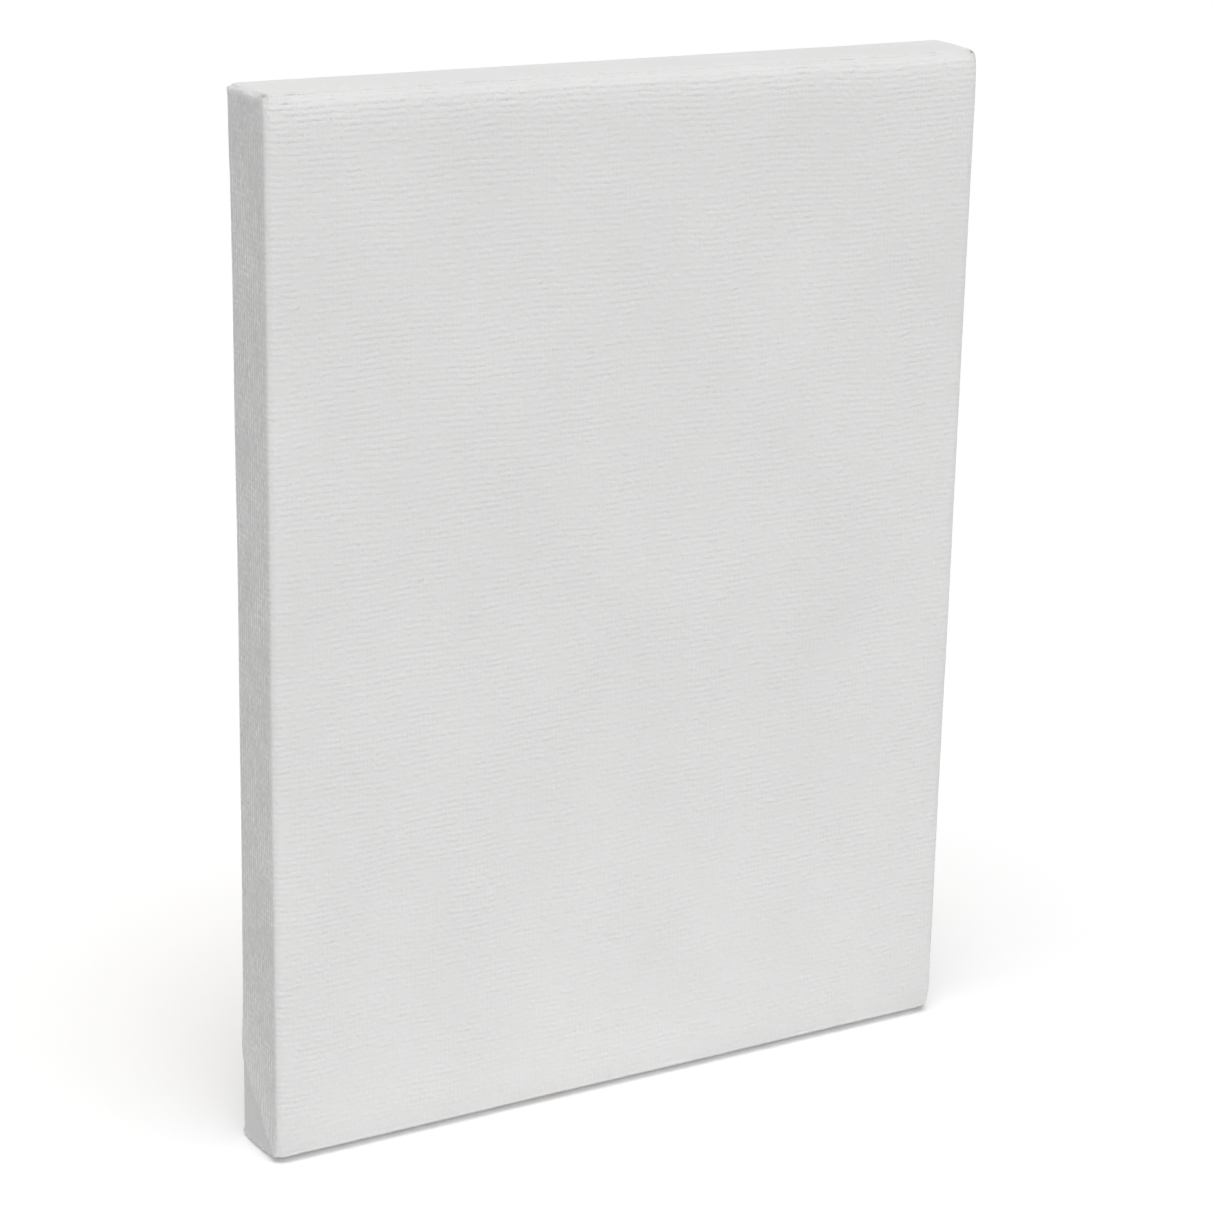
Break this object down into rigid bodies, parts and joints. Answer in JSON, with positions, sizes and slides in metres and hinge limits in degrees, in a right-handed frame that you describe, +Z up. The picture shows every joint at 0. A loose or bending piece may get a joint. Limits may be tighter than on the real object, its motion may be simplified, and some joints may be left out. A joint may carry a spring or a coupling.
{
  "type": "stretched canvas",
  "caption": "Small upright stretched canvas: white primed cotton stapled over mitred softwood stretcher bars, open at the back, with loose corner keys.",
  "frame": {"origin": "middle of the underside, on the surface that the canvas stands on", "axes": "+Z up, +X to the right seen from the painting side, +Y from the painting side to the back"},
  "size_m": [0.15, 0.016, 0.2],
  "materials": {
    "primed_cotton": "plain-weave cotton with a matt white acrylic ground outside, raw cotton inside",
    "stretcher_pine": "planed bare softwood",
    "key_birch": "sawn bare hardwood",
    "staple_wire": "galvanised fine wire"
  },
  "bodies": {
    "frame": {"bar_bottom": "stretcher_pine", "bar_right": "stretcher_pine", "bar_top": "stretcher_pine", "bar_left": "stretcher_pine", "canvas": "primed_cotton", "staples_bottom": "staple_wire", "staples_right": "staple_wire", "staples_top": "staple_wire", "staples_left": "staple_wire", "staples_corners": "staple_wire"},
    "key_bottom_left_level": {"key_bottom_left_level": "key_birch"},
    "key_bottom_left_upright": {"key_bottom_left_upright": "key_birch"},
    "key_bottom_right_level": {"key_bottom_right_level": "key_birch"},
    "key_bottom_right_upright": {"key_bottom_right_upright": "key_birch"},
    "key_top_left_level": {"key_top_left_level": "key_birch"},
    "key_top_left_upright": {"key_top_left_upright": "key_birch"},
    "key_top_right_level": {"key_top_right_level": "key_birch"},
    "key_top_right_upright": {"key_top_right_upright": "key_birch"}
  },
  "joints": [
    {"name": "key_bottom_left_level_slide", "type": "slide", "parent": "frame", "child": "key_bottom_left_level", "axis": [1, 0, 0], "range_m": [0, 0.018]},
    {"name": "key_bottom_left_upright_slide", "type": "slide", "parent": "frame", "child": "key_bottom_left_upright", "axis": [0, 0, 1], "range_m": [0, 0.018]},
    {"name": "key_bottom_right_level_slide", "type": "slide", "parent": "frame", "child": "key_bottom_right_level", "axis": [-1, 0, 0], "range_m": [0, 0.018]},
    {"name": "key_bottom_right_upright_slide", "type": "slide", "parent": "frame", "child": "key_bottom_right_upright", "axis": [0, 0, 1], "range_m": [0, 0.018]},
    {"name": "key_top_left_level_slide", "type": "slide", "parent": "frame", "child": "key_top_left_level", "axis": [1, 0, 0], "range_m": [0, 0.018]},
    {"name": "key_top_left_upright_slide", "type": "slide", "parent": "frame", "child": "key_top_left_upright", "axis": [0, 0, -1], "range_m": [0, 0.018]},
    {"name": "key_top_right_level_slide", "type": "slide", "parent": "frame", "child": "key_top_right_level", "axis": [-1, 0, 0], "range_m": [0, 0.018]},
    {"name": "key_top_right_upright_slide", "type": "slide", "parent": "frame", "child": "key_top_right_upright", "axis": [0, 0, -1], "range_m": [0, 0.018]}
  ]
}
